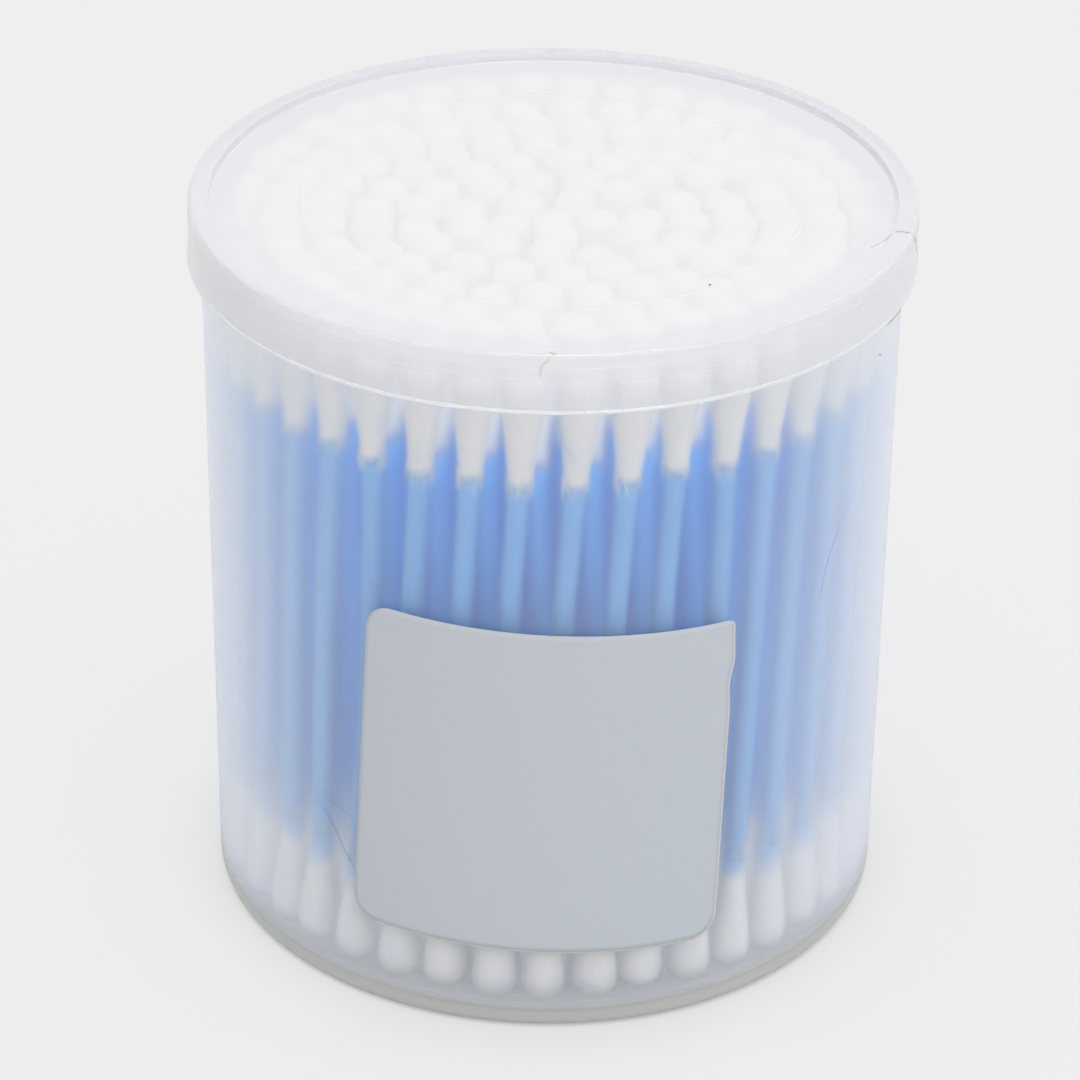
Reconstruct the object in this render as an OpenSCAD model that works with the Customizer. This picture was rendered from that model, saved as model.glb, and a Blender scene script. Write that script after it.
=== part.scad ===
// A round see-through tub of cotton swabs with a push-on lid and a bare label.
// The origin is the centre of the foot ring, on the surface that the tub stands on.
// +Z is up, and the label faces -Y.

/* [Swabs] */
// Length of a swab over both cotton tips
swab_l = 74.5; // [50:0.5:110]
// Diameter of the plastic stem
stem_d = 2.3; // [1.6:0.1:3]
// Widest diameter of a cotton tip
tip_d = 4.6; // [3.9:0.1:5.6]
// Length of a cotton tip
tip_l = 13.5; // [9:0.5:18]
// Length of the tip's full width, rounded end included
tip_body_l = 4.6; // [3:0.2:8]
// Thickness of the cotton at its thin end, around the stem
tip_neck_t = 0.25; // [0.1:0.05:0.6]

/* [Packing] */
// Least room from one ring of swabs to the next
ring_gap = 0.08; // [0.05:0.01:0.6]
// Least room between the swabs of one ring, before they are set uneven
side_gap = 0.5; // [0.3:0.05:1]
// Room that is always kept between two tips of a ring
tip_gap = 0.1; // [0.05:0.01:0.2]
// Room between the outer ring of tips and the wall
wall_gap = 0.1; // [0.05:0.05:0.5]
// Room between the lowest tips and the floor
floor_gap = 0.05; // [0.02:0.01:0.3]
// Most that a swab stands higher than the lowest ones
lift = 1.2; // [0:0.1:3]
// Room between the highest tips and the lid
head_room = 0.55; // [0.3:0.05:3]
// Angle that a swab of the outer ring leans round the tub, from its foot to its head
twist = 5; // [-8:0.5:8]

/* [Tub] */
// Outer diameter of the tub just above its rounded foot
tub_d = 72.2; // [60:0.2:110]
// Growth of the wall's radius from the foot to the mouth
tub_draft = 0.2; // [0:0.05:1]
// Thickness of the wall
wall_t = 0.8; // [0.5:0.1:1.6]
// Thickness of the floor
floor_t = 1; // [0.6:0.1:2]
// Height of the foot ring under the floor
foot_h = 0.6; // [0.3:0.1:1.5]
// Width of the foot ring where it meets the floor's underside
foot_w = 2.8; // [2:0.1:5]
// Radius of the tub's rounded lower corner
foot_round = 1.6; // [0.6:0.1:2]
// Radius of the fillet between the floor and the wall inside
floor_fillet = 0.9; // [0.3:0.1:1.4]
// Height of the thicker band at the mouth
band_h = 1.3; // [0.6:0.1:3]
// Distance that the band stands out from the wall
band_t = 0.12; // [0.05:0.01:0.4]

/* [Lid] */
// Room between the tub's band and the lid's skirt
lid_gap = 0.27; // [0.2:0.01:0.5]
// Thickness of the skirt
skirt_t = 0.8; // [0.5:0.1:1.6]
// Length of the skirt below the panel
skirt_l = 4.7; // [3:0.1:12]
// Growth of the skirt's radius from the top to its lower edge
skirt_draft = 0.15; // [0:0.05:0.5]
// Height of the thin bead along the skirt's lower edge
bead_h = 0.5; // [0.3:0.1:1.2]
// Distance that the bead stands out from the skirt
bead_t = 0.1; // [0.05:0.01:0.3]
// Thickness of the panel
panel_t = 0.9; // [0.6:0.1:2]
// Height of the raised stacking rim above the panel
stack_h = 0.7; // [0.3:0.1:1.5]
// Width of the raised stacking rim
stack_w = 2.1; // [1.4:0.1:4]
// Radius of the lid's outer top edge
lid_round = 0.45; // [0.2:0.05:0.6]
// Diameter of the fine moulded circle on the panel
circle_d = 52; // [20:1:56]
// Width of the fine moulded circle
circle_w = 0.4; // [0.2:0.1:1]
// Height of the fine moulded circle
circle_h = 0.12; // [0.05:0.01:0.3]

/* [Label] */
// Width of the label, measured round the wall
label_w = 38.6; // [15:0.2:50]
// Height of the label
label_h = 36.6; // [15:0.2:40]
// Height of the label's centre above the ground
label_z = 28.7; // [26:0.1:34]
// Thickness of the label
label_t = 0.14; // [0.06:0.01:0.3]
// Thickness of the glue film behind the label
glue_t = 0.02; // [0.01:0.01:0.05]
// Radius of the three rounded corners
label_round = 2.8; // [0.5:0.1:5]
// Radius of the corner that is nearly square
label_nick = 0.5; // [0.2:0.1:2]
// Angle that the label is set askew
label_askew = 1.8; // [-5:0.1:5]

/* [Hidden] */

// Half diameters
tip_r = tip_d / 2;
stem_r = stem_d / 2;
tub_r = tub_d / 2;

// Heights, from the ground up
floor_z = foot_h + floor_t;
tub_h = floor_z + floor_gap + lift + swab_l + head_room;
panel_z = tub_h + panel_t;
lid_z = panel_z + stack_h;
skirt_z = tub_h - skirt_l;

// Radii at the mouth and of the lid
mouth_r = tub_r + tub_draft;
band_r = mouth_r + band_t;
skirt_in_r = band_r + lid_gap;
lid_r = skirt_in_r + skirt_t;

// The middles of a swab's two rounded ends are this far apart
swab_span = swab_l - tip_d;
// The stem shows from the thin end of one tip to that of the other
stem_l = swab_l - 2 * tip_l;
neck_r = stem_r + tip_neck_t;

// Rings of swabs, counted from the wall inwards, with one swab in the middle.
// The outermost rings have nodes of their own, and the rest are the core.
outer_ring_r = tub_r - wall_t - wall_gap - tip_r;
ring_count = floor(outer_ring_r / (tip_d + ring_gap));
ring_node_count = 6;
// A small tub has fewer rings than that, and the first nodes then share its outer ring
shared = max(0, ring_node_count - ring_count);
core_groups = [ring_node_count + 1 : ring_count + 1 + shared];
seed = 11;

// The smoothness of round faces, and the number of steps in a small rounded edge
$fn = 64;
edge_steps = 4;

function polar(r, a) = [r * sin(a), -r * cos(a)];
function arc(centre, r, from, to) =
    [for (i = [0 : edge_steps])
        centre + r * [cos(from + (to - from) * i / edge_steps), sin(from + (to - from) * i / edge_steps)]];

// Radius of the tub's wall outside, at a height
function wall_r(z) = tub_r + tub_draft * z / tub_h;

// Radius of a ring, the number of its swabs and the room beside each of them
function ring_r(ring) = outer_ring_r * (ring_count + 1 - ring) / ring_count;
function ring_n(ring) =
    ring_r(ring) < tip_d ? (ring > ring_count ? 1 : 5) : floor(180 / asin((tip_d + side_gap) / 2 / ring_r(ring)));
function room(ring) = 2 * ring_r(ring) * sin(180 / ring_n(ring)) - tip_d - tip_gap;
function sway(ring) = ring > ring_count ? 0 : room(ring) / 2 / ring_r(ring) * 180 / PI;

// Alternate rings lean opposite ways, and the inner ones lean as far as the outer ring does
function ring_twist(ring) = ring > ring_count ? 0 : (ring % 2 == 1 ? 1 : -0.6) * twist;

// A drop of cotton: rounded end at -Z, then a straight length, then a long taper to the stem
module tip() {
    rotate_extrude() {
        intersection() {
            circle(r = tip_r);
            translate([0, -tip_r]) square([tip_r, tip_r]);
        }
        polygon([[0, 0], [tip_r, 0], [tip_r, tip_body_l - tip_r],
            [neck_r, tip_l - tip_r], [0, tip_l - tip_r]]);
    }
}

// Puts its children on each swab of a group, with the origin at the middle of the swab's
// lower rounded end and +Z up along the swab. A group is a ring, or its share of the outer ring.
module on_swabs(group) {
    ring = max(1, group - shared);
    step = group > shared + 1 ? 1 : shared + 1;
    first = (group - 1) % step;
    n = ring_n(ring);
    foot_sway = rands(-1, 1, n, seed + ring);
    head_sway = rands(-1, 1, n, seed + 10 * ring);
    lifts = rands(0, lift, n, seed + 100 * ring);
    for (i = [first : step : n - 1]) {
        a = 360 / n * i;
        foot = polar(ring_r(ring), a + sway(ring) * foot_sway[i]);
        head = polar(ring_r(ring), a + ring_twist(ring) + sway(ring) * head_sway[i]);
        lean = head - foot;
        translate([foot.x, foot.y, floor_z + floor_gap + tip_r + lifts[i]])
            rotate([0, asin(norm(lean) / swab_span), atan2(lean.y, lean.x)])
                children();
    }
}

module stems(group) {
    color("#7fa8e6") on_swabs(group)
        translate([0, 0, tip_l - tip_r]) cylinder(r = stem_r, h = stem_l);
}

module lower_tips(group) {
    color("#f4f4f2") on_swabs(group) tip();
}

module upper_tips(group) {
    color("#f8f8f6") on_swabs(group)
        translate([0, 0, swab_span]) rotate([180, 0, 0]) tip();
}

module tub() {
    foot_r = tub_r - foot_round;
    inner_r = tub_r - wall_t;
    color("#dfe5f2", 0.4) rotate_extrude()
        polygon(concat(
            [[0, foot_h], [tub_r - foot_w - foot_h, foot_h], [tub_r - foot_w, 0]],
            arc([foot_r, foot_round], foot_round, -90, 0),
            [[wall_r(tub_h - band_h - band_t), tub_h - band_h - band_t], [band_r, tub_h - band_h]],
            arc([band_r - band_t, tub_h - band_t], band_t, 0, 90),
            [[mouth_r - wall_t, tub_h]],
            arc([inner_r - floor_fillet, floor_z + floor_fillet], floor_fillet, 0, -90),
            [[0, floor_z]]));
}

module lid() {
    edge_r = lid_r + skirt_draft;
    stack_r = lid_r - stack_w;
    circle_r = circle_d / 2;
    color("#e9edf7", 0.4) rotate_extrude()
        polygon(concat(
            [[0, panel_z], [circle_r - circle_w, panel_z], [circle_r - circle_w / 2, panel_z + circle_h],
                [circle_r, panel_z + circle_h], [circle_r + circle_w / 2, panel_z],
                [stack_r - stack_h / 2, panel_z], [stack_r, lid_z]],
            arc([lid_r - lid_round, lid_z - lid_round], lid_round, 90, 0),
            [[edge_r, skirt_z + bead_h + bead_t], [edge_r + bead_t, skirt_z + bead_h],
                [edge_r + bead_t, skirt_z], [edge_r - skirt_t, skirt_z],
                [skirt_in_r, tub_h], [0, tub_h]]));
}

// The label's outline, seen from the front, with its upper right corner nearly square
module label_outline() {
    half_w = wall_r(label_z) * sin(label_w / 2 / wall_r(label_z) * 180 / PI);
    half_h = label_h / 2;
    x = half_w - label_round;
    y = half_h - label_round;
    polygon(concat(
        arc([half_w - label_nick, half_h - label_nick], label_nick, 0, 90),
        arc([-x, y], label_round, 90, 180),
        arc([-x, -y], label_round, 180, 270),
        arc([x, -y], label_round, 270, 360)));
}

module label() {
    low = label_z - label_h;
    high = label_z + label_h;
    inner = glue_t;
    outer = glue_t + label_t;
    color("#b8bec6") intersection() {
        rotate_extrude() polygon([
            [wall_r(low) + inner, low], [wall_r(low) + outer, low],
            [wall_r(high) + outer, high], [wall_r(high) + inner, high]]);
        translate([0, 0, label_z]) rotate([90, 0, 0])
            linear_extrude(height = tub_d) rotate(-label_askew) label_outline();
    }
}

module ring_1_stems() { stems(1); }
module ring_1_upper_tips() { upper_tips(1); }
module ring_1_lower_tips() { lower_tips(1); }
module ring_2_stems() { stems(2); }
module ring_2_upper_tips() { upper_tips(2); }
module ring_2_lower_tips() { lower_tips(2); }
module ring_3_stems() { stems(3); }
module ring_3_upper_tips() { upper_tips(3); }
module ring_3_lower_tips() { lower_tips(3); }
module ring_4_stems() { stems(4); }
module ring_4_upper_tips() { upper_tips(4); }
module ring_4_lower_tips() { lower_tips(4); }
module ring_5_stems() { stems(5); }
module ring_5_upper_tips() { upper_tips(5); }
module ring_5_lower_tips() { lower_tips(5); }
module ring_6_stems() { stems(6); }
module ring_6_upper_tips() { upper_tips(6); }
module ring_6_lower_tips() { lower_tips(6); }
module core_stems() { for (group = core_groups) stems(group); }
module core_upper_tips() { for (group = core_groups) upper_tips(group); }
module core_lower_tips() { for (group = core_groups) lower_tips(group); }

tub();
lid();
label();
ring_1_stems();
ring_1_upper_tips();
ring_1_lower_tips();
ring_2_stems();
ring_2_upper_tips();
ring_2_lower_tips();
ring_3_stems();
ring_3_upper_tips();
ring_3_lower_tips();
ring_4_stems();
ring_4_upper_tips();
ring_4_lower_tips();
ring_5_stems();
ring_5_upper_tips();
ring_5_lower_tips();
ring_6_stems();
ring_6_upper_tips();
ring_6_lower_tips();
core_stems();
core_upper_tips();
core_lower_tips();
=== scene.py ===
"""Dresses a see-through tub of cotton swabs: milky tub and lid, bare label, blue stems and wound cotton."""

import logging
import math
from dataclasses import dataclass, field
from enum import Enum

import bpy
import numpy as np
from mathutils import Matrix, Vector


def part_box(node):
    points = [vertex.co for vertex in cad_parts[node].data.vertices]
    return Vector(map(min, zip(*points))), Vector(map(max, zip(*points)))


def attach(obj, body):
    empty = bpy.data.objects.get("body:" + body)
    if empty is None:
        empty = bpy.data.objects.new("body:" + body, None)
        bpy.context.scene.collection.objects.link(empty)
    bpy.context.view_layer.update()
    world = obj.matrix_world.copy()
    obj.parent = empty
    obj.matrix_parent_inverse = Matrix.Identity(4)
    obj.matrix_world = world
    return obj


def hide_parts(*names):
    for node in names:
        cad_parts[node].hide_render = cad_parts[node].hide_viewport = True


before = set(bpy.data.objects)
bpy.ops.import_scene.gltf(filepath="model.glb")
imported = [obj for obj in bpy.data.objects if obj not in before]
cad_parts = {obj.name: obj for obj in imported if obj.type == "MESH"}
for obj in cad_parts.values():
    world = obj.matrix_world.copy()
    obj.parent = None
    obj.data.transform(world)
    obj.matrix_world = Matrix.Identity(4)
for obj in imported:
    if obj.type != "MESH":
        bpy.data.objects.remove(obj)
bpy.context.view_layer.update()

LOG = logging.getLogger("swab_tub")
MM = 0.001
TUB_BODY = "tub"
LID_BODY = "lid"

Triple = tuple[float, float, float]
Colour = Triple
Faces = tuple[np.ndarray, ...]
Material = bpy.types.Material
Socket = bpy.types.NodeSocket

# A noise texture's factor mostly stays in the wide range. Reading it over the narrow one gives more contrast.
WIDE = (0.3, 0.7)
NARROW = (0.35, 0.65)


class Ring(Enum):
    """The rings of swabs, from the wall inwards. The value is the start of the CAD nodes' names."""

    FIRST = "ring_1"
    SECOND = "ring_2"
    THIRD = "ring_3"
    FOURTH = "ring_4"
    FIFTH = "ring_5"
    SIXTH = "ring_6"
    CORE = "core"


class End(Enum):
    """The two cotton ends of a swab. The value is the middle of the CAD nodes' names."""

    UPPER = "upper"
    LOWER = "lower"


# Loose fibres at the thin end of each tip: many in the rings that show, and a few in the others.
WISPS = {Ring.FIRST: 40, Ring.SECOND: 16}
FEW_WISPS = 4

# Power of the curve of a tip's rounded end: 2 gives an ellipse, and more a flatter end.
TIP_FLATNESS = {End.UPPER: 3.4, End.LOWER: 2.05}

# Least and greatest length, in millimetres, over which a tip's cotton thins out along its stem.
TIP_FADE = {End.UPPER: (0.5, 1.3), End.LOWER: (2.5, 5.0)}


def grid_faces(rows: int, columns: int, closed_round: bool) -> np.ndarray:
    """Quads that join each point of a grid to the next one along and the next one round.

    Args:
        rows: Number of points along the profile.
        columns: Number of points round or across it.
        closed_round: True if the last column joins the first one.

    Returns:
        An array of four point numbers for each quad.
    """
    joined = np.arange(columns if closed_round else columns - 1)
    start, column = np.meshgrid(np.arange(rows - 1) * columns, joined, indexing="ij")
    here = start + column
    beside = start + (column + 1) % columns
    return np.stack([here, beside, beside + columns, here + columns], axis=-1).reshape(-1, 4)


def new_piece(name: str, points: np.ndarray, quads: np.ndarray, caps: Faces = ()) -> bpy.types.Object:
    """Makes a smooth-shaded mesh object at the origin from points and quads.

    Args:
        name: The piece's name.
        points: Points in metres, one row each.
        quads: Four point numbers for each quad.
        caps: Further faces, each an array of point numbers.

    Returns:
        The new object, linked to the scene.
    """
    mesh = bpy.data.meshes.new(name)
    sizes = np.array([4] * len(quads) + [len(cap) for cap in caps], np.int32)
    corners = np.concatenate([quads.ravel(), *caps]).astype(np.int32)
    mesh.vertices.add(len(points))
    mesh.vertices.foreach_set("co", np.asarray(points, np.float32).ravel())
    mesh.loops.add(len(corners))
    mesh.loops.foreach_set("vertex_index", corners)
    mesh.polygons.add(len(sizes))
    mesh.polygons.foreach_set("loop_start", (np.cumsum(sizes) - sizes).astype(np.int32))
    mesh.polygons.foreach_set("loop_total", sizes)
    mesh.polygons.foreach_set("use_smooth", np.ones(len(sizes), bool))
    mesh.update(calc_edges=True)
    mesh.validate()
    obj = bpy.data.objects.new(name, mesh)
    bpy.context.scene.collection.objects.link(obj)
    return obj


def seat(obj: bpy.types.Object, body: str, nodes: list[str], material: Material) -> None:
    """Dresses a piece and says what it rides on and which CAD nodes it stands for.

    Args:
        obj: The piece.
        body: The CAD body that it moves with.
        nodes: The CAD nodes that it replaces.
        material: Its finish.
    """
    obj.data.materials.append(material)
    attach(obj, body)
    if nodes:
        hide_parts(*nodes)
    LOG.info("%s: %d faces on %s", obj.name, len(obj.data.polygons), body)


def unit(vectors: np.ndarray) -> np.ndarray:
    """Vectors of length 1 in the same directions: each vector divided by its length."""
    return vectors / np.linalg.norm(vectors, axis=-1, keepdims=True)


def arc(centre: tuple[float, float], radius: float, start: float, end: float, steps: int = 8) -> np.ndarray:
    """Points on a circle's arc: centre plus radius times (cosine, sine) of evenly spaced angles.

    Args:
        centre: Middle of the circle, in the profile's plane.
        radius: Its radius.
        start: First angle, in degrees.
        end: Last angle, in degrees.
        steps: Number of steps between them.

    Returns:
        The points, one row each.
    """
    angle = np.radians(np.linspace(start, end, steps + 1))
    return np.stack([centre[0] + radius * np.cos(angle), centre[1] + radius * np.sin(angle)], axis=-1)


def line(
    start: tuple[float, float], end: tuple[float, float], shares: np.ndarray | tuple[float, ...]
) -> np.ndarray:
    """Points on a straight line, one row each: the start plus each share of the way to the end."""
    return np.array(start) + np.outer(shares, np.subtract(end, start))


def hold_bends(profile: np.ndarray, margin: float = 0.03 * MM, least: float = 0.25 * MM) -> np.ndarray:
    """Adds a point near each end of a profile's long straight runs, to keep them straight when shaded smooth.

    Args:
        profile: Points of the section, one row each.
        margin: How far from the end of its run each new point lies.
        least: The shortest run that gets them.

    Returns:
        The same section with more points.
    """
    run = np.diff(profile, axis=0)
    length = np.linalg.norm(run, axis=1)
    shift = run * (margin / length)[:, None]
    rows = np.stack([profile[:-1], profile[:-1] + shift, profile[1:] - shift], axis=1)
    long = length > least
    keep = np.stack([np.ones_like(long), long, long], axis=1)
    return np.concatenate([rows[keep], profile[-1:]])


def revolve(profile: np.ndarray, columns: int) -> tuple[np.ndarray, np.ndarray, Faces]:
    """A profile of radius and height, carried round the Z axis and closed by a flat face at each end.

    Each point of the profile (r, z) gives a circle (r sin a, -r cos a, z) for angles a all round. The
    profile runs so that the faces point outwards.

    Args:
        profile: Radius and height of each point, in metres.
        columns: Number of steps round the axis.

    Returns:
        The points, the quads and the two flat faces.
    """
    a = np.linspace(0, 2 * math.pi, columns, endpoint=False)
    r = profile[:, 0][:, None]
    z = np.broadcast_to(profile[:, 1][:, None], (len(profile), columns))
    points = np.stack([r * np.sin(a), -r * np.cos(a), z], axis=-1).reshape(-1, 3)
    circle = np.arange(columns)
    caps = (circle[::-1], circle + (len(profile) - 1) * columns)
    return points, grid_faces(len(profile), columns, closed_round=True), caps


def tubes(
    centres: np.ndarray, radii: np.ndarray, across: np.ndarray, beside: np.ndarray, turned: bool = False
) -> tuple[np.ndarray, np.ndarray, Faces]:
    """Round closed shapes about middle lines.

    A point is centre + radius times (across cos a + beside sin a), for angles a all round.

    Args:
        centres: The middle of each row of points, for each shape.
        radii: Radius for each shape, row and side.
        across: A direction square to the middle line, for each shape, or for each of its rows.
        beside: The direction square to both.
        turned: True where the line, across and beside are left-handed, so that the faces have to be turned.

    Returns:
        The points, the quads and the faces at the ends.
    """
    shapes, rows, sides = radii.shape
    a = np.linspace(0, 2 * math.pi, sides, endpoint=False)[:, None]
    around = np.cos(a) * across[..., None, :] + np.sin(a) * beside[..., None, :]
    points = centres[:, :, None] + radii[..., None] * around
    circle = np.arange(sides)
    firsts = np.arange(shapes) * rows * sides
    quads = (grid_faces(rows, sides, closed_round=True) + firsts[:, None, None]).reshape(-1, 4)
    caps = [cap + first for first in firsts for cap in (circle[::-1], circle + (rows - 1) * sides)]
    if turned:
        quads = quads[:, ::-1]
        caps = [cap[::-1] for cap in caps]
    return points.reshape(-1, 3), quads, tuple(caps)


class Nodes:
    """A node tree under construction, with short ways to add and join nodes."""

    # Numbers of a colour Mix node's inputs, whose names its other kinds of inputs share, and of its result.
    MIX_SHARE, MIX_FIRST, MIX_SECOND, MIX_RESULT = 0, 6, 7, 2

    def __init__(self, tree: bpy.types.NodeTree) -> None:
        """Starts with an empty tree."""
        self.tree = tree
        self.tree.nodes.clear()

    def add(
        self, kind: str, inputs: dict[str | int, object] | None = None, output: str | int = 0,
        **settings: object,
    ) -> Socket:
        """Adds a node.

        Args:
            kind: Blender's name of its type, without ShaderNode at its start.
            inputs: By name or number, each input's value or the socket that drives it.
            output: Name or number of the output that is used.
            settings: The node's properties.

        Returns:
            The output's socket.
        """
        node = self.tree.nodes.new(f"ShaderNode{kind}")
        for key, value in settings.items():
            setattr(node, key, value)
        for key, value in (inputs or {}).items():
            socket = node.inputs[key]
            if isinstance(value, Socket):
                self.tree.links.new(value, socket)
            else:
                socket.default_value = (*value, 1.0) if socket.type == "RGBA" else value
        return node.outputs[output]

    def close(self, surface: Socket, kind: str = "Material") -> None:
        """Joins the finished shader to the output of a material or a world."""
        self.tree.links.new(surface, self.tree.nodes.new(f"ShaderNodeOutput{kind}").inputs["Surface"])

    def coordinates(self, scale: Triple = (1.0, 1.0, 1.0)) -> Socket:
        """Object coordinates, stretched by a Mapping node. Patterns get finer as the scale grows."""
        return self.add("Mapping", {"Vector": self.add("TexCoord", output="Object"), "Scale": scale})

    def height(self) -> Socket:
        """The height of each point above the ground, in metres."""
        return self.add("SeparateXYZ", {0: self.coordinates()}, "Z")

    def noise(self, scale: Triple, octaves: float, rough: float = 0.5) -> Socket:
        """A noise texture's factor.

        Args:
            scale: Its fineness along each axis.
            octaves: How many octaves it has.
            rough: Share of the finer octaves.

        Returns:
            The factor socket.
        """
        return self.add("TexNoise", {
            "Vector": self.coordinates(scale), "Scale": 1.0, "Detail": octaves, "Roughness": rough,
        })

    def spread(
        self, value: Socket, low: float, high: float, to_low: float | Socket, to_high: float
    ) -> Socket:
        """A value's range mapped in a straight line to another range, and held inside it.

        Args:
            value: The socket that is read.
            low: Its value that gives to_low.
            high: Its value that gives to_high.
            to_low: The result at low.
            to_high: The result at high.

        Returns:
            The result socket.
        """
        return self.add("MapRange", {
            "Value": value, "From Min": low, "From Max": high, "To Min": to_low, "To Max": to_high,
        })

    def maths(self, operation: str, *values: float | Socket) -> Socket:
        """The result of a Math node on two or three values."""
        return self.add("Math", dict(enumerate(values)), operation=operation)

    def bump(self, pattern: Socket, height: float) -> Socket:
        """A bump map's normal, from a height pattern and its full height in metres."""
        return self.add("Bump", {"Height": pattern, "Distance": height})

    def mix_shaders(self, share: Socket, first: Socket, second: Socket) -> Socket:
        """A mix of two shaders: the first at share 0 and the second at 1."""
        return self.add("MixShader", {"Fac": share, 1: first, 2: second})

    def mix_colours(self, share: Socket, first: Colour | Socket, second: Colour | Socket) -> Socket:
        """A colour between two: the first at share 0 and the second at 1."""
        inputs = {self.MIX_SHARE: share, self.MIX_FIRST: first, self.MIX_SECOND: second}
        return self.add("Mix", inputs, self.MIX_RESULT, data_type="RGBA")

    def rays(self, *kinds: str) -> Socket:
        """Whether a ray of light is of one of some kinds.

        Args:
            kinds: The kinds, as the Light Path node names them.

        Returns:
            A socket that is 1 for these rays and 0 for the others.
        """
        found = self.add("LightPath", output=f"Is {kinds[0]} Ray")
        for kind in kinds[1:]:
            found = self.maths("MAXIMUM", found, self.add("LightPath", output=f"Is {kind} Ray"))
        return found


class Finish(Nodes):
    """A node material under construction."""

    def __init__(self, name: str) -> None:
        """Starts an empty material under a name."""
        self.material = bpy.data.materials.new(name)
        self.material.use_nodes = True
        super().__init__(self.material.node_tree)


@dataclass(frozen=True)
class MilkyPlastic:
    """See-through polypropylene: part clear, part milky, and whiter where it is seen edge-on or is thick.

    Its colour and milkiness change over a zone: up from the base of the tub, or inwards from the lid's edge.
    Elsewhere lamps and the light between the swabs pass it freely, and only what the camera sees is soft.
    """

    name: str
    milk: float = 0.08
    streak_share: float = 0.2
    streak_scale: Triple = (90.0, 90.0, 14.0)
    streak_height: float = 0.02 * MM
    edge_milk: float = 0.6
    edge_from: float = 0.22
    edge_to: float = 1.0
    tint: Colour = (0.996, 0.997, 0.999)
    # The default, the tub's milk, is tinted blue: painted light that stands in for light from the blue stems
    # scattered in the milk.
    body: Colour = (0.64, 0.70, 0.82)
    roughness: float = 0.22
    softness: float = 0.26
    clear_index: float = 1.45
    milky_index: float = 1.5
    zone_milk: float = 0.0
    zone_shade: float = 0.0
    # The zone's milk is greyer and darker: painted shade, for the shade at the tub's base and in the gap seen
    # through the lid's rim and skirt.
    zone_painted_shade_body: Colour = (0.62, 0.615, 0.60)
    zone_from: float = 1.8 * MM
    zone_to: float = 5.4 * MM
    zone_by_radius: bool = False
    clear_below: float = -1.0
    clear_ramp: float = 1.2 * MM

    def make(self) -> Material:
        """Builds the material.

        Returns:
            To the camera, a soft clear shader mixed with a milky one. To other rays, clear outside its zone.
        """
        f = Finish(self.name)
        streaks = f.noise(self.streak_scale, 1.0)
        least, most = self.milk * (1 - self.streak_share), self.milk * (1 + self.streak_share)
        milk = f.spread(streaks, *WIDE, least, most)
        facing = f.add("LayerWeight", {"Blend": 0.5}, "Facing")
        turned = f.spread(facing, self.edge_from, self.edge_to, milk, self.edge_milk)
        place = f.height()
        if self.zone_by_radius:
            place = f.add("VectorMath", {0: f.coordinates((1.0, 1.0, 0.0))}, "Value", operation="LENGTH")
        zone = f.spread(place, self.zone_from, self.zone_to, 1.0, 0.0)
        milky_from = self.clear_below + self.clear_ramp
        thick = f.spread(f.height(), self.clear_below, milky_from, 0.0, self.zone_milk)

        clear = f.add("BsdfTransparent", {"Color": self.tint})
        soft = f.add(
            "BsdfGlass", {"Color": self.tint, "Roughness": self.softness, "IOR": self.clear_index},
            distribution="MULTI_GGX",
        )
        # Over the zone the milk's colour turns to the zone's painted shade.
        milky = f.add("BsdfPrincipled", {
            "Base Color": f.mix_colours(zone, self.body, self.zone_painted_shade_body), "Roughness": self.roughness,
            "IOR": self.milky_index, "Normal": f.bump(streaks, self.streak_height),
        })
        shown = f.mix_shaders(f.maths("MAXIMUM", turned, f.maths("MULTIPLY", zone, thick)), soft, milky)
        unseen = f.mix_shaders(f.spread(zone, 0.0, 1.0, 0.0, self.zone_shade), clear, milky)
        f.close(f.mix_shaders(f.rays("Camera", "Transmission"), unseen, shown))
        return f.material


@dataclass(frozen=True)
class WoundCotton:
    """Matte white cotton wool with a fine fibrous surface. Where it is thin, the blue stem shows through."""

    name: str = "wound_cotton"
    thin: Colour = (0.18, 0.48, 0.98)
    # These defaults are the inner rings' cotton, painted lighter than the front ring's to stand in for light
    # that the crowded inside lacks.
    light: Colour = (0.88, 0.88, 0.875)
    shade: Colour = (0.85, 0.85, 0.85)
    # Painted highlight: the cotton is painted lighter towards the tops of the heads, for the light that falls
    # on them from above.
    painted_top_light: Colour = (0.93, 0.93, 0.925)
    painted_top_from: float = 69.0 * MM
    painted_top_to: float = 75.5 * MM
    clump_scale: Triple = (420.0, 420.0, 260.0)
    clump_rough: float = 0.62
    fibre_scale: Triple = (2400.0, 2400.0, 900.0)
    fibre_rough: float = 0.6
    fibre_share: float = 0.45
    fibre_height: float = 0.12 * MM
    patchy: float = 0.25

    def make(self) -> Material:
        """Builds the material.

        Returns:
            A rough, faintly sheeny surface with winding and fibre bump.
        """
        f = Finish(self.name)
        clumps = f.noise(self.clump_scale, 5.0, self.clump_rough)
        fibres = f.noise(self.fibre_scale, 3.0, self.fibre_rough)
        cover = f.add("Attribute", output="Fac", attribute_name="cover")
        cover = f.maths("ADD", cover, f.spread(clumps, *WIDE, -self.patchy, self.patchy))
        cotton = f.mix_colours(f.spread(clumps, *NARROW, 0.0, 1.0), self.shade, self.light)
        # Painted highlight: towards the tops of the heads the colour turns to the painted top light.
        top_light_share = f.spread(f.height(), self.painted_top_from, self.painted_top_to, 0.0, 1.0)
        white = f.mix_colours(top_light_share, cotton, self.painted_top_light)
        f.close(f.add("BsdfPrincipled", {
            "Base Color": f.mix_colours(f.spread(cover, 0.1, 0.9, 0.0, 1.0), self.thin, white),
            "Roughness": 0.95, "Specular IOR Level": 0.15, "Sheen Weight": 0.35, "Sheen Roughness": 0.5,
            "Normal": f.bump(f.maths("MULTIPLY_ADD", fibres, self.fibre_share, clumps), self.fibre_height),
        }))
        return f.material


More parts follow.
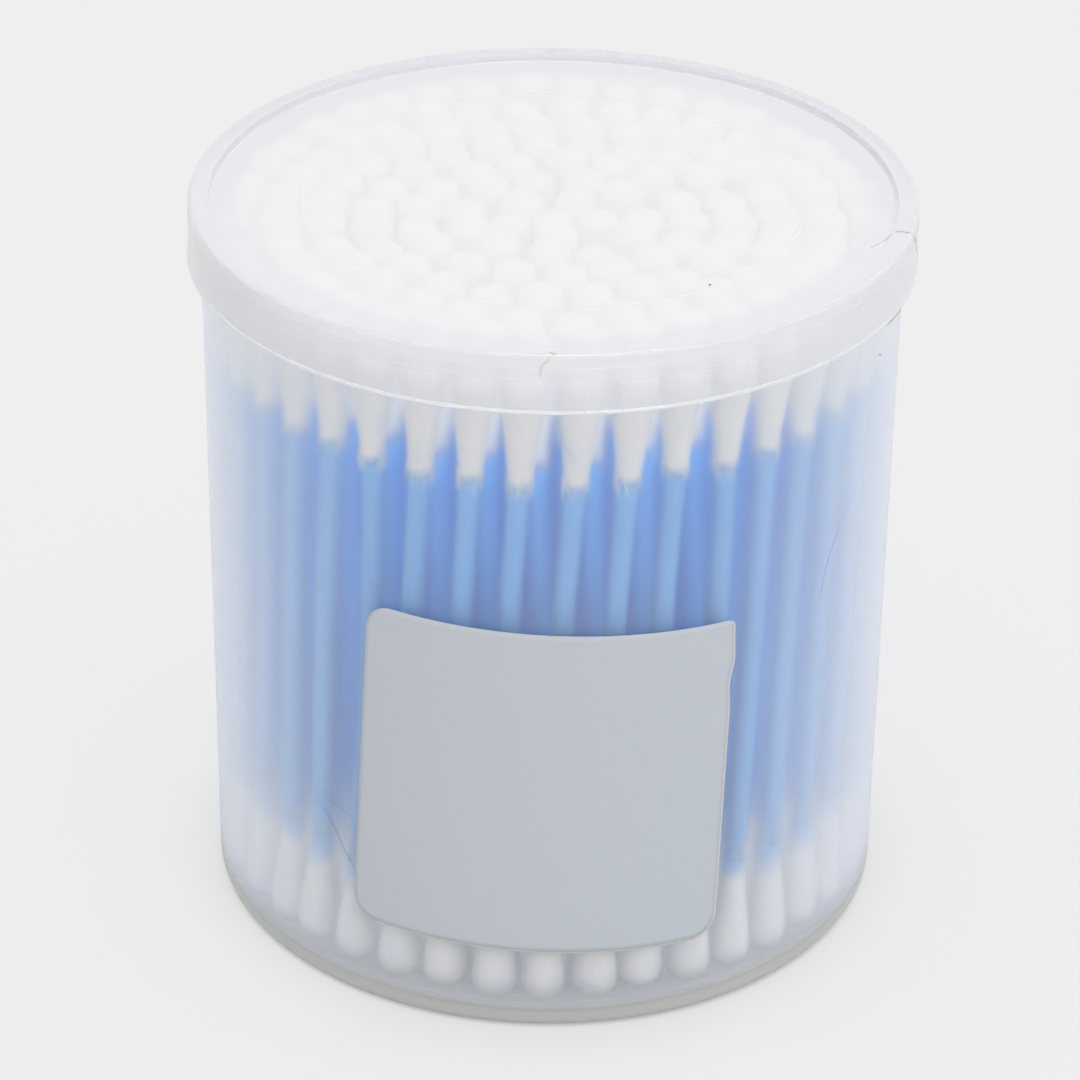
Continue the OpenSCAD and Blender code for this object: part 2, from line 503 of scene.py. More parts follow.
@dataclass(frozen=True)
class StemPlastic:
    """Satin light blue plastic with faint lengthwise drawing marks."""

    name: str = "stem_plastic"
    # These defaults are the inner rings' stems, painted lighter than the front ring's to stand in for light
    # that the crowded inside lacks.
    light: Colour = (0.10, 0.45, 1.0)
    deep: Colour = (0.08, 0.44, 0.97)
    band_scale: Triple = (260.0, 260.0, 20.0)
    mark_scale: Triple = (3000.0, 3000.0, 60.0)
    mark_depth: float = 0.01 * MM
    least_roughness: float = 0.32
    most_roughness: float = 0.46

    def make(self) -> Material:
        """Builds the material.

        Returns:
            A satin surface whose colour and gloss vary a little along and between the stems.
        """
        f = Finish(self.name)
        bands = f.noise(self.band_scale, 2.0)
        marks = f.noise(self.mark_scale, 2.0)
        f.close(f.add("BsdfPrincipled", {
            "Base Color": f.mix_colours(f.spread(bands, *WIDE, 0.0, 1.0), self.deep, self.light),
            "Roughness": f.spread(marks, *WIDE, self.least_roughness, self.most_roughness),
            "IOR": 1.49, "Normal": f.bump(marks, self.mark_depth),
        }))
        return f.material


@dataclass(frozen=True)
class LabelPaper:
    """Pale grey coated paper with a fine grain."""

    name: str = "label_paper"
    colour: Colour = (0.502, 0.536, 0.577)
    fleck: Colour = (0.495, 0.529, 0.571)
    grain_scale: Triple = (1800.0, 1800.0, 1800.0)
    grain_height: float = 0.01 * MM

    def make(self) -> Material:
        """Builds the material.

        Returns:
            A matte surface with a faint grain in its colour and bump.
        """
        f = Finish(self.name)
        grain = f.noise(self.grain_scale, 3.0)
        f.close(f.add("BsdfPrincipled", {
            "Base Color": f.mix_colours(f.spread(grain, *NARROW, 0.0, 1.0), self.fleck, self.colour),
            "Roughness": 0.62, "Specular IOR Level": 0.3, "Normal": f.bump(grain, self.grain_height),
        }))
        return f.material


@dataclass
class Moulding:
    """A moulding turned about the Z axis, called like its CAD node and its body."""

    name: str
    columns: int = 256

    def profile(self) -> np.ndarray:
        """The section, which each moulding works out for itself."""
        raise NotImplementedError

    def build(self, finish: Material) -> None:
        """Makes the moulding and seats it.

        Args:
            finish: The milky plastic.
        """
        obj = new_piece(f"{self.name}_moulding", *revolve(hold_bends(self.profile()), self.columns))
        seat(obj, self.name, [self.name], finish)


@dataclass
class Tub(Moulding):
    """The one-piece tub: foot ring, rounded corner, drafted wall, thicker band at the mouth, and floor."""

    name: str = TUB_BODY
    radius: float = 36.1 * MM
    draft: float = 0.2 * MM
    wall: float = 0.8 * MM
    wall_rows: int = 12
    floor_z: float = 1.6 * MM
    foot_height: float = 0.6 * MM
    foot_width: float = 2.8 * MM
    foot_round: float = 1.2 * MM
    floor_fillet: float = 0.9 * MM
    band_height: float = 1.3 * MM
    band: float = 0.12 * MM
    lip_share: float = 0.3

    def profile(self) -> np.ndarray:
        """The section: out along the underside, up the wall, down its inside and in along the floor."""
        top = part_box("tub")[1].z
        mouth = self.radius + self.draft
        inner = self.radius - self.wall
        foot_r = self.radius - self.foot_width
        corner_z = self.floor_z + self.floor_fillet
        band_r, band_z = mouth + self.band, top - self.band_height
        lip = self.wall * self.lip_share
        outside, inside = np.linspace(0.05, 1, self.wall_rows), np.linspace(0.98, 0.02, self.wall_rows)
        return np.concatenate([
            [[self.radius / 2, self.foot_height], [foot_r - self.foot_height, self.foot_height]],
            [[foot_r, 0.0]],
            arc((self.radius - self.foot_round, self.foot_round), self.foot_round, -90, 0),
            line((self.radius, self.foot_round), (mouth, band_z - self.band), outside),
            [[band_r, band_z]],
            arc((band_r - lip, top - lip), lip, 0, 90, 5),
            arc((mouth - self.wall + lip / 2, top - lip / 2), lip / 2, 90, 180, 4),
            line((inner, corner_z), (mouth - self.wall, top - lip), inside),
            arc((inner - self.floor_fillet, corner_z), self.floor_fillet, 0, -90, 6),
            [[self.radius / 2, self.floor_z]],
        ])


@dataclass
class Lid(Moulding):
    """The one-piece lid: recessed panel with a fine moulded circle, raised stacking rim and drafted skirt.

    Ridge is the outer half of the circle's section: shares of its width from its middle, and of its height.
    """

    name: str = LID_BODY
    panel: float = 0.9 * MM
    stack_height: float = 0.7 * MM
    stack_width: float = 2.1 * MM
    skirt: float = 0.8 * MM
    skirt_draft: float = 0.15 * MM
    bead_height: float = 0.5 * MM
    bead: float = 0.1 * MM
    edge_round: float = 0.45 * MM
    small_round: float = 0.15 * MM
    lip_round: float = 0.1 * MM
    valley_round: float = 0.2 * MM
    inset: float = 0.05 * MM
    step: float = 0.05 * MM
    step_depth: float = 1.5 * MM
    circle_radius: float = 26.0 * MM
    circle_width: float = 0.3 * MM
    circle_height: float = 0.025 * MM
    ridge: tuple[tuple[float, float], ...] = (
        (1, 0), (0.75, 0), (0.65, 0.2), (0.35, 0.8), (0.25, 1), (0.15, 1))

    def profile(self) -> np.ndarray:
        """The section: out along the panel's underside, down the skirt's inside, round its edge, up its
        outside, over the stacking rim and in along the panel's top."""
        low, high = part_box("lid")
        top, bottom = high.z, low.z
        panel_z = top - self.stack_height
        under_z = panel_z - self.panel
        edge_r = high.x - self.bead
        outer_top = edge_r - self.skirt_draft
        inner_top = outer_top - self.skirt
        stack_r = outer_top - self.stack_width
        small, lip, valley = self.small_round, self.lip_round, self.valley_round
        bead_r, bead_z = high.x - small, bottom + self.bead_height
        edge_z = top - self.edge_round
        step_z = top - self.step_depth
        outer = np.array(self.ridge)
        circle = np.concatenate([outer, outer[::-1] * [-1, 1]]) * [self.circle_width, self.circle_height]
        return np.concatenate([
            line((0, under_z), (inner_top - small - self.inset, under_z), (0.5, 0.95, 1)),
            arc((inner_top - small, under_z - small), small, 90, 0, 3),
            arc((edge_r - self.skirt + lip, bottom + lip), lip, 180, 270, 3),
            arc((bead_r, bottom + small), small, -90, 0, 4),
            arc((bead_r, bead_z - small), small, 0, 70, 4),
            line((edge_r, bead_z + self.bead), (outer_top, edge_z), (0.05, 0.5)),
            [[outer_top + self.step, step_z - self.step / 2], [outer_top, step_z + self.step / 2]],
            [[outer_top, edge_z - 2 * self.inset]],
            arc((outer_top - self.edge_round, edge_z), self.edge_round, 0, 90, 6),
            arc((stack_r + small, top - small), small, 90, 155, 4),
            arc((stack_r - self.stack_height / 2 - self.inset, panel_z + valley), valley, -25, -90, 4),
            circle + [self.circle_radius - self.circle_width / 4, panel_z],
            line((0, panel_z), (self.circle_radius, panel_z), (0.9, 0.5)),
        ])


@dataclass
class Label:
    """The bare label: a thin sheet bent round the wall, set slightly askew and cut a little out of square."""

    columns: int = 72
    rows: int = 60
    height: float = 28.55 * MM
    half_width: float = 19.4 * MM
    half_height: float = 18.45 * MM
    askew: float = 1.8
    corner: float = 2.8 * MM
    nick: float = 0.5 * MM
    narrowing: float = 0.013
    top_left: float = 0.2 * MM
    bottom_left: float = 0.64 * MM
    top_up: float = 0.85 * MM
    top_slope: float = 0.25 * MM
    bottom_down: float = 0.3 * MM
    tear: float = 0.22 * MM
    backing: float = 0.04 * MM
    thickness: float = 0.1 * MM
    glue: float = 0.02 * MM
    peek: float = 0.22 * MM

    def build(self, tub: Tub, finish: Material, cream: Material) -> None:
        """Makes the label and the cream backing that shows along its right-hand and lower edges.

        Args:
            tub: The tub whose wall carries the label.
            finish: The label's paper.
            cream: The backing's paper.
        """
        front = self.glue + self.backing
        self.sheet(tub, "bare_label", 0.0, (front + self.thickness, front), ["label"], finish)
        self.sheet(tub, "label_backing", self.peek, (front, self.glue), [], cream)

    def outline(self) -> tuple[np.ndarray, np.ndarray]:
        """The flat sheet before it is turned and bent.

        A grid over the unit square is pulled in at its corners, so that its rim is a rectangle with round
        corners. Its edges are moved a little out of square. Its right-hand edge has a small bulge near the
        top with a small notch under it, where it is torn.

        Returns:
            How far each point of the grid lies to the right of the middle and above it.
        """
        u, v = np.meshgrid(np.linspace(-1, 1, self.columns), np.linspace(-1, 1, self.rows))
        radius = np.where((u > 0) & (v > 0), self.nick, self.corner)
        straight_x, straight_z = self.half_width - radius, self.half_height - radius
        x, z = np.abs(u * self.half_width), np.abs(v * self.half_height)
        beyond_x = np.maximum(x - straight_x, 0) / radius
        beyond_z = np.maximum(z - straight_z, 0) / radius
        pull = radius * np.maximum(beyond_x, beyond_z) / np.maximum(np.hypot(beyond_x, beyond_z), 1e-9)
        x = np.sign(u) * (np.minimum(x, straight_x) + beyond_x * pull)
        z = np.sign(v) * (np.minimum(z, straight_z) + beyond_z * pull)
        torn = np.exp(-((v - 0.78) / 0.09) ** 2) - np.exp(-((v - 0.6) / 0.08) ** 2)
        upper, lower = (1 + v) / 2, (1 - v) / 2
        x = x * (1 - self.narrowing * v) - self.top_left * upper - self.bottom_left * lower
        x = x + self.tear * torn * np.clip(u, 0, 1) ** 9
        z = z + (self.top_up - self.top_slope * u) * upper - self.bottom_down * lower
        return x, z

    def sheet(
        self, tub: Tub, name: str, shift: float, stands: tuple[float, float], nodes: list[str],
        finish: Material,
    ) -> None:
        """Makes one sheet of the label and seats it.

        The flat sheet is turned by the askew angle and laid on the wall: across is an arc round the axis, and
        up is a height. Its two faces stand off the wall by different amounts.

        Args:
            tub: The tub whose wall carries the label.
            name: The sheet's name.
            shift: How far the sheet lies to the right and down.
            stands: How far its outer and inner faces stand off the wall.
            nodes: The CAD nodes that it replaces.
            finish: The paper.
        """
        x, z = self.outline()
        tilt = math.radians(-self.askew)
        angle = (x * math.cos(tilt) - z * math.sin(tilt) + shift) / tub.radius
        up = x * math.sin(tilt) + z * math.cos(tilt) + self.height - shift
        wall = tub.radius + tub.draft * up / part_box("tub")[1].z
        faces = [
            np.stack([(wall + stand) * np.sin(angle), -(wall + stand) * np.cos(angle), up], axis=-1)
            for stand in stands
        ]
        front = grid_faces(self.rows, self.columns, closed_round=False)
        index = np.arange(x.size).reshape(x.shape)
        rim = np.concatenate([index[0], index[1:, -1], index[-1, -2::-1], index[-2:0:-1, 0]])
        after = np.roll(rim, -1)
        sides = np.stack([rim, rim + x.size, after + x.size, after], axis=-1)
        quads = np.concatenate([front, front[:, ::-1] + x.size, sides])
        obj = new_piece(name, np.concatenate(faces).reshape(-1, 3), quads)
        seat(obj, TUB_BODY, nodes, finish)


@dataclass(frozen=True)
class Strand:
    """A stray fibre, or a short speck, that lies on the plastic where the photograph shows one.

    Its places are radius and height in millimetres, with the angle from the front in degrees between them.
    """

    name: str
    body: str
    places: tuple[Triple, ...]
    width: float
    colour: Colour
    sides: int = 6
    steps: int = 8
    end_share: float = 0.35

    def curve(self) -> np.ndarray:
        """Points along the fibre in metres, on a Catmull-Rom curve through its places."""
        knots = np.array(self.places)
        ends = np.concatenate([2 * knots[:1] - knots[1:2], knots, 2 * knots[-1:] - knots[-2:-1]])
        t = np.linspace(0, len(knots) - 1, self.steps * (len(knots) - 1) + 1)
        i = np.minimum(t.astype(int), len(knots) - 2)
        f = (t - i)[:, None]
        a, b, c, d = ends[i], ends[i + 1], ends[i + 2], ends[i + 3]
        bend = (2 * a - 5 * b + 4 * c - d) * f**2 + (3 * b - a - 3 * c + d) * f**3
        radius, angle, height = (0.5 * (2 * b + (c - a) * f + bend)).T
        angle = np.radians(angle)
        return np.stack([radius * np.sin(angle), -radius * np.cos(angle), height], axis=-1) * MM

    def build(self) -> None:
        """Makes the fibre, a round tube that narrows to its ends, and seats it."""
        middle = self.curve()
        along = unit(np.gradient(middle, axis=0))
        side = unit(np.cross(along, unit(middle * [1.0, 1.0, 0.0]) + [0.0, 0.0, 1.0]))
        full = np.sin(np.linspace(0, math.pi, len(middle))) ** 0.5
        radius = self.width / 2 * (self.end_share + (1 - self.end_share) * full) * MM
        radii = np.broadcast_to(radius[:, None], (1, len(middle), self.sides))
        obj = new_piece(self.name, *tubes(middle[None], radii, side, np.cross(side, along), turned=True))
        f = Finish(self.name)
        f.close(f.add("BsdfPrincipled", {"Base Color": self.colour, "Roughness": 0.7}))
        seat(obj, self.body, [], f.material)


STRANDS = (
    Strand("straw_fibre_top", LID_BODY, ((36.85, -0.3, 79.56), (37.0, 0.3, 79.56), (37.1, 0.9, 79.54)),
           0.17, (0.68, 0.63, 0.47)),
    Strand("straw_fibre_edge", LID_BODY, ((37.2, 0.0, 79.5), (37.5, -0.5, 79.05), (37.54, -1.0, 78.7),
           (37.57, -1.44, 78.3), (37.6, -1.47, 77.4)), 0.17, (0.70, 0.65, 0.50)),
    Strand("hair_rim", LID_BODY, ((33.9, 70.5, 78.85), (34.8, 74.0, 78.85), (35.35, 75.0, 79.4),
           (35.9, 75.6, 79.54), (37.1, 75.7, 79.52), (37.5, 76.8, 78.9), (37.57, 79.5, 77.0),
           (37.6, 81.0, 75.8)), 0.08, (0.55, 0.5, 0.48)),
    Strand("hair_skirt", LID_BODY, ((37.68, 69.8, 73.6), (37.7, 68.2, 73.25), (37.7, 65.6, 73.2),
           (37.7, 62.7, 73.1)), 0.13, (0.42, 0.34, 0.30)),
    Strand("thread_upper", TUB_BODY, ((36.18, -41.6, 23.1), (36.18, -39.5, 23.7), (36.18, -37.2, 23.0),
           (36.18, -33.1, 22.1)), 0.06, (0.22, 0.30, 0.45)),
    Strand("thread_lower", TUB_BODY, ((36.18, -41.0, 22.1), (36.18, -39.0, 21.6), (36.18, -36.5, 19.4),
           (36.18, -35.0, 17.7), (36.18, -32.5, 15.4)), 0.07, (0.20, 0.28, 0.42)),
    Strand("thread_right", TUB_BODY, ((36.24, 59.4, 55.3), (36.24, 57.0, 53.7), (36.24, 53.6, 51.2),
           (36.24, 51.1, 48.1), (36.24, 50.0, 44.8)), 0.06, (0.30, 0.42, 0.66)),
    Strand("speck_wall", TUB_BODY, ((36.31, 66.0, 68.6), (36.31, 66.3, 68.4)), 0.16, (0.22, 0.19, 0.17)),
    Strand("speck_lid", LID_BODY, ((25.5, 37.3, 78.86), (25.7, 37.5, 78.86)), 0.2, (0.2, 0.18, 0.17)),
)


@dataclass
class SwabRing:
    """One ring of swabs: its blue stems, and the cotton wound on their upper and lower ends.

    They throw no shadows, and the cotton of the two outer rings lets the dome's light pass, because light
    goes through thin cotton and pale plastic. The swell and the split are shares of a tip's length, and the
    cap's length is in tip radii.
    """

    ring: Ring
    wisps: int
    stem_radius: float = 1.15 * MM
    tip_radius: float = 2.3 * MM
    tip_length: float = 13.5 * MM
    inside_tip: float = 2.5 * MM
    neck_gap: float = 0.1 * MM
    least_radius: float = 0.02 * MM
    swell_from: float = 0.08
    swell: float = 0.74
    split: float = 0.8
    cap_length: float = 1.05
    bow: float = 0.25 * MM
    uneven: float = 0.016
    twist: float = 2.5
    ripple: float = 0.010
    ripple_turns: tuple[float, float] = (8.0, 16.0)
    fatter: tuple[float, float] = (-0.02, 0.04)
    sides: int = 16
    stem_rows: int = 9
    taper_rows: int = 8
    cap_rows: int = 7
    wisp_rows: int = 5
    wisp_sides: int = 3
    wisp_width: float = 0.035 * MM
    wisp_inside: float = 1.2 * MM
    wisp_cover: float = 0.8
    random: np.random.Generator = field(init=False)
    low_ends: np.ndarray = field(init=False)
    high_ends: np.ndarray = field(init=False)

    def __post_init__(self) -> None:
        """Finds each stem's two ends in the CAD node of the ring's stems."""
        self.random = np.random.default_rng(sum(map(ord, self.ring.value)))
        self.low_ends, self.high_ends = self.stem_ends(f"{self.ring.value}_stems")

    @staticmethod
    def stem_ends(node: str, weld: float = 0.001 * MM) -> tuple[np.ndarray, np.ndarray]:
        """The middles of the lower and upper ends of each stem in a CAD node.

        Points that are joined by triangles are one stem: each point takes the least number of its
        neighbours until nothing changes. A stem's points lie on its two end circles, so the mean of those
        below its middle is one end and the mean of those above it is the other.

        Args:
            node: Name of the CAD node.
            weld: Points are taken as the same at this distance.

        Returns:
            The lower ends and the upper ends, one row for each stem.
        """
        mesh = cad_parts[node].data
        points = np.empty(len(mesh.vertices) * 3)
        mesh.vertices.foreach_get("co", points)
        mesh.calc_loop_triangles()
        triangles = np.empty(len(mesh.loop_triangles) * 3, np.int32)
        mesh.loop_triangles.foreach_get("vertices", triangles)
        steps = np.round(points.reshape(-1, 3) / weld).astype(int)
        places, same = np.unique(steps, axis=0, return_inverse=True)
        triangles = same.reshape(-1)[triangles.reshape(-1, 3)]
        label = np.arange(len(places))
        while True:
            least = label[triangles].min(axis=1)
            new = label.copy()
            for corner in range(3):
                np.minimum.at(new, triangles[:, corner], least)
            if np.array_equal(new, label):
                break
            label = new
        lows, highs = [], []
        for stem in np.unique(label):
            own = places[label == stem] * weld
            middle = (own[:, 2].min() + own[:, 2].max()) / 2
            lows.append(own[own[:, 2] < middle].mean(axis=0))
            highs.append(own[own[:, 2] >= middle].mean(axis=0))
        return np.array(lows), np.array(highs)

    def axes(self) -> tuple[np.ndarray, np.ndarray, np.ndarray]:
        """Each stem's direction and two directions across it, one row for each stem."""
        along = unit(self.high_ends - self.low_ends)
        across = unit(np.cross(along, [0.0, 1.0, 0.0]))
        return along, across, np.cross(along, across)

    def build_stems(self, finish: Material) -> None:
        """Makes the stems, each a thin rod with a slight bow, and seats them.

        The bow is a half sine wave along the stem, in a random direction.

        Args:
            finish: The blue plastic.
        """
        along, across, beside = self.axes()
        length = np.linalg.norm(self.high_ends - self.low_ends, axis=1).mean() + 2 * self.inside_tip
        distances = np.linspace(0, length, self.stem_rows)[:, None]
        bow = self.random.normal(0, self.bow, (len(along), 2))
        bent = (bow[:, :1] * across + bow[:, 1:] * beside)[:, None] * np.sin(math.pi * distances / length)
        centres = (self.low_ends - along * self.inside_tip)[:, None] + distances * along[:, None] + bent
        radii = np.full((len(along), self.stem_rows, self.sides), self.stem_radius)
        obj = new_piece(f"stems_{self.ring.value}", *tubes(centres, radii, across[:, None], beside[:, None]))
        obj.visible_shadow = False
        seat(obj, TUB_BODY, [f"{self.ring.value}_stems"], finish)

    def tip_radii(self, s: np.ndarray, count: int, flatness: float) -> np.ndarray:
        """Radius of each cotton tip at each row and side.

        From the stem the radius swells in a smooth curve, then closes along a quarter of a flattened ellipse.
        Slow waves round and along the tip make it uneven.

        Args:
            s: Share of the tip's length at each row, from its thin end to its rounded end.
            count: Number of tips.
            flatness: Power of the rounded end's curve.

        Returns:
            Radii for each tip, row and side.
        """
        neck = self.stem_radius + self.neck_gap
        grow = np.clip((s - self.swell_from) / self.swell, 0, 1)
        taper = neck + (self.tip_radius - neck) * (grow + grow**2 * (3 - 2 * grow)) / 2
        cap_from = 1 - self.cap_length * self.tip_radius / self.tip_length
        cap = np.clip((s - cap_from) / (1 - cap_from), 0, 1)
        base = taper * np.maximum(1 - cap**flatness, 0) ** (1 / flatness)
        t = np.linspace(0, 2 * math.pi, self.sides, endpoint=False)
        s = s[:, None]
        each = (count, 1, 1)
        uneven = np.zeros((count, len(s), self.sides))
        for waves in (1, 2, 3):
            size = self.random.normal(0, self.uneven / waves, each)
            turn = self.random.uniform(0, 2 * math.pi, each)
            twist = self.random.uniform(-self.twist, self.twist, each)
            uneven += size * np.cos(waves * t + turn + twist * s)
        ripple = self.random.normal(0, self.ripple, each)
        turns = self.random.uniform(*self.ripple_turns, each)
        ripple = ripple * np.sin(s * turns + self.random.uniform(0, 6, each))
        return base[:, None] * (1 + uneven + ripple + self.random.uniform(*self.fatter, each))

    def build_tips(self, end: End, finish: Material) -> None:
        """Makes the cotton on one end of the stems and seats it.

        Each of its points carries how well the cotton covers the stem there, for the finish to read.

        Args:
            end: Which end.
            finish: The cotton.
        """
        along, across, beside = self.axes()
        starts = self.high_ends
        if end is End.LOWER:
            along, beside, starts = -along, -beside, self.low_ends
        count = len(starts)
        s = np.concatenate([
            np.linspace(0, self.split, self.taper_rows, endpoint=False),
            self.split + (1 - self.split) * np.sin(np.linspace(0, math.pi / 2, self.cap_rows)),
        ])
        # The last row isn't quite at the tip's end, so that it is a small circle that a face can close.
        s[-1] = 0.9995
        centres = starts[:, None] + (s * self.tip_length)[:, None] * along[:, None]
        radii = np.maximum(self.tip_radii(s, count, TIP_FLATNESS[end]), self.least_radius)
        points, quads, caps = tubes(centres, radii, across[:, None], beside[:, None])
        fade = self.random.uniform(*TIP_FADE[end], count)
        cover = np.minimum(s * self.tip_length / (fade[:, None] * MM), 1.0)
        cover = np.repeat(cover.ravel(), self.sides)
        wisp_points, wisp_quads, wisp_caps = self.wisp_shapes(starts, along, across, beside, fade)
        obj = new_piece(
            f"{end.value}_cotton_{self.ring.value}",
            np.concatenate([points, wisp_points]),
            np.concatenate([quads, wisp_quads + len(points)]),
            caps + tuple(cap + len(points) for cap in wisp_caps),
        )
        cover = np.concatenate([cover, np.full(len(wisp_points), self.wisp_cover)])
        attribute = obj.data.attributes.new("cover", "FLOAT", "POINT")
        attribute.data.foreach_set("value", cover.astype(np.float32))
        obj.visible_shadow = False
        obj.visible_diffuse = self.ring not in (Ring.FIRST, Ring.SECOND)
        seat(obj, TUB_BODY, [f"{self.ring.value}_{end.value}_tips"], finish)

    def wisp_shapes(
        self, starts: np.ndarray, along: np.ndarray, across: np.ndarray, beside: np.ndarray, fade: np.ndarray
    ) -> tuple[np.ndarray, np.ndarray, Faces]:
        """Loose cotton fibres that run from the thin end of the cotton along the stem.

        Each fibre is a thin three-sided tube that narrows at its ends. Its middle line winds a little round
        the stem while it runs along it, just outside the stem's surface.

        Args:
            starts: The thin end of each tip's cotton.
            along: Direction from there to the tip's rounded end.
            across: A direction square to it.
            beside: The direction square to both.
            fade: How far the fibres of each tip reach, in millimetres.

        Returns:
            The fibres' points, their quads and the faces at their ends.
        """
        count = len(starts) * self.wisps
        each = (count, 1)
        swab = np.repeat(np.arange(len(starts)), self.wisps)
        t = np.linspace(0, 1, self.wisp_rows)
        reach = (0.35 + 0.9 * fade[swab, None]) * self.random.uniform(0.4, 1.1, each) * MM
        distance = self.wisp_inside - t * (reach + self.wisp_inside)
        turn = self.random.uniform(0, 2 * math.pi, each) + self.random.normal(0, 0.35, each) * t
        turn = turn + 0.08 * np.sin(t * 9 + self.random.uniform(0, 6, each))
        stand = self.stem_radius + self.random.uniform(0.06, 0.16, each) * MM + 0.1 * MM * (1 - t)
        stand = stand + self.random.exponential(0.05, each) * t**2 * MM
        out = np.cos(turn)[..., None] * across[swab, None] + np.sin(turn)[..., None] * beside[swab, None]
        middle = starts[swab, None] + distance[..., None] * along[swab, None] + stand[..., None] * out
        width = self.wisp_width * np.sin(np.clip(t, 0.02, 0.98) * math.pi) ** 0.4
        radii = np.broadcast_to(width[:, None], (count, self.wisp_rows, self.wisp_sides))
        return tubes(middle, radii, out, np.cross(along[swab, None], out), turned=True)


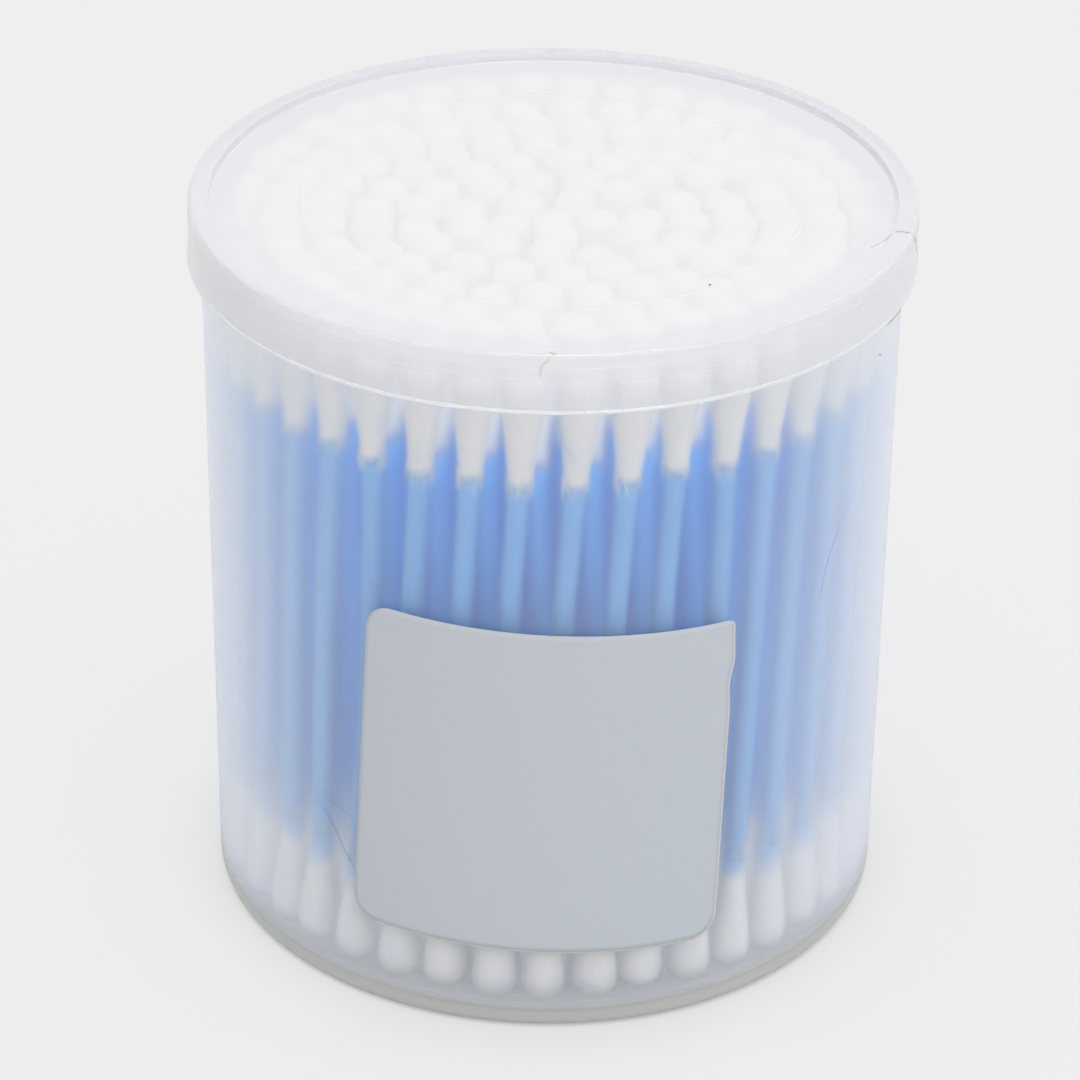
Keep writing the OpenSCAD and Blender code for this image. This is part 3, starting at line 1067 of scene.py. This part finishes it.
@dataclass(frozen=True)
class Studio:
    """Camera, pale floor and soft light.

    The focal length and the centre are in pixels of the photograph, whose width is image. The floor's light
    falls to contact_light near the object and to contact_dark under it.
    """

    elevation: float = 29.415
    distance: float = 0.450
    target_height: float = 0.03975
    focal_pixels: float = 4191.75
    centre_x: float = 548.72
    centre_y: float = 526.77
    roll: float = 0.806
    image: float = 1080.0
    sensor_width: float = 36.0
    backdrop: float = 0.863
    dome_light: float = 0.88
    floor_half: float = 3.0
    floor_colour: float = 0.76
    evenness: float = 0.75
    contact: float = 6 * MM
    contact_dark: float = 0.35
    contact_light: float = 0.91

    def camera(self) -> None:
        """Places the camera at the photograph's viewing angle."""
        data = bpy.data.cameras.new("camera")
        data.sensor_width = self.sensor_width
        data.lens = self.focal_pixels / self.image * data.sensor_width
        data.shift_x = (self.image / 2 - self.centre_x) / self.image
        data.shift_y = (self.centre_y - self.image / 2) / self.image
        data.clip_start = 0.01
        data.clip_end = 20.0
        obj = bpy.data.objects.new("camera", data)
        bpy.context.scene.collection.objects.link(obj)
        tilt = math.radians(self.elevation)
        back = Vector((0, -math.cos(tilt), math.sin(tilt))) * self.distance
        turn = Matrix.Rotation(math.radians(90 - self.elevation), 4, "X")
        spin = Matrix.Rotation(math.radians(self.roll), 4, "Z")
        obj.matrix_world = Matrix.Translation(back + Vector((0, 0, self.target_height))) @ turn @ spin
        bpy.context.scene.camera = obj

    def floor(self) -> None:
        """Lays a large pale floor that keeps the object's shadow, and paints a contact shadow near the
        object.
        """
        points = self.floor_half * np.array([[-1, -1, 0], [1, -1, 0], [1, 1, 0], [-1, 1, 0]])
        obj = new_piece("floor", points, np.array([[0, 1, 2, 3]]))
        f = Finish("pale_floor")
        surface = f.add("BsdfDiffuse", {"Color": (self.floor_colour,) * 3})
        # Painted contact shadow: the glow that the camera sees darkens with ambient occlusion near the
        # object.
        near = f.add("AmbientOcclusion", {"Distance": self.contact}, "AO", samples=8)
        dark = f.spread(near, 0.0, 0.5, self.contact_dark, self.contact_light)
        light = f.spread(near, 0.5, 1.0, 0.0, 1 - self.contact_light)
        even = f.add("Emission", {"Color": (self.backdrop,) * 3, "Strength": f.maths("ADD", dark, light)})
        share = f.maths("MULTIPLY", f.rays("Camera", "Transmission"), self.evenness)
        f.close(f.mix_shaders(share, surface, even))
        obj.data.materials.append(f.material)

    def lamp(
        self, name: str, place: Triple, size: float, power: float, mirrored: bool
    ) -> None:
        """Adds a square soft lamp that faces the object.

        Args:
            name: The lamp's name.
            place: Where it hangs, in metres.
            size: Its side.
            power: Its power in watts.
            mirrored: True if glossy and clear surfaces show it.
        """
        data = bpy.data.lights.new(name, "AREA")
        data.size = size
        data.energy = power
        obj = bpy.data.objects.new(name, data)
        bpy.context.scene.collection.objects.link(obj)
        obj.location = place
        obj.visible_glossy = mirrored
        obj.visible_transmission = mirrored
        aim = Vector((0, 0, self.target_height)) - Vector(place)
        obj.rotation_euler = aim.to_track_quat("-Z", "Y").to_euler()

    def world(self) -> None:
        """Sets an even pale dome, which the camera sees a little darker than the light that it gives."""
        world = bpy.data.worlds.new("pale_dome")
        bpy.context.scene.world = world
        world.use_nodes = True
        nodes = Nodes(world.node_tree)
        light = nodes.add("Background", {"Color": (1.0, 1.0, 1.0), "Strength": self.dome_light})
        seen = nodes.add("Background", {"Color": (self.backdrop,) * 3})
        nodes.close(nodes.mix_shaders(nodes.rays("Camera", "Glossy", "Transmission"), light, seen), "World")

    def build(self) -> None:
        """Sets up the whole studio."""
        bpy.context.scene.view_settings.view_transform = "Standard"
        self.camera()
        self.floor()
        self.world()
        self.lamp("overhead_softbox", (0.1, 0.1, 1.6), size=0.7, power=5.0, mirrored=True)
        self.lamp("front_softbox", (0.8, -1.2, 1.0), size=1.0, power=6.0, mirrored=False)


def main() -> None:
    """Builds the studio, then the object's sub-assemblies in order."""
    logging.basicConfig(level=logging.INFO, format="%(name)s: %(message)s")
    Studio().build()
    tub = Tub()
    tub.build(MilkyPlastic("tub_plastic", zone_milk=0.55, zone_shade=0.55).make())
    # The lid's outer zone is a darker lavender: painted shade for the gap between the heads and the wall seen
    # through it.
    lid_plastic = MilkyPlastic(
        "lid_plastic", milk=0.3, edge_from=0.2, edge_to=0.55, edge_milk=0.80, body=(0.74, 0.74, 0.745),
        softness=0.09, zone_milk=0.45, zone_painted_shade_body=(0.70, 0.70, 0.735), zone_from=33.0 * MM, zone_to=31.0 * MM,
        zone_by_radius=True, clear_below=75.7 * MM,
    )
    Lid().build(lid_plastic.make())
    cream = LabelPaper("label_backing", colour=(0.74, 0.70, 0.62), fleck=(0.71, 0.67, 0.59)).make()
    Label().build(tub, LabelPaper().make(), cream)
    for strand in STRANDS:
        strand.build()
    # Lit and shaded copies of one cotton: the inner rings' is painted lighter, the front ring's painted
    # darker with a dimmer painted top light.
    cotton = WoundCotton().make()
    front_cotton_painted_shade = WoundCotton(
        "wound_cotton_front_painted_shade", thin=(0.14, 0.37, 0.74), light=(0.665, 0.665, 0.655), shade=(0.64, 0.64, 0.635),
        painted_top_light=(0.86, 0.86, 0.855), painted_top_from=73.0 * MM,
    ).make()
    # Lit and shaded copies of one plastic: the inner rings' stems are painted lighter, the front ring's
    # painted darker.
    blue = StemPlastic().make()
    front_stems_painted_shade = StemPlastic("stem_plastic_front_painted_shade", light=(0.11, 0.34, 0.70), deep=(0.10, 0.32, 0.67)).make()
    for ring in Ring:
        swabs = SwabRing(ring, WISPS.get(ring, FEW_WISPS))
        swabs.build_stems(front_stems_painted_shade if ring is Ring.FIRST else blue)
        for end in End:
            swabs.build_tips(end, front_cotton_painted_shade if ring is Ring.FIRST else cotton)


if __name__ == "__main__":
    main()
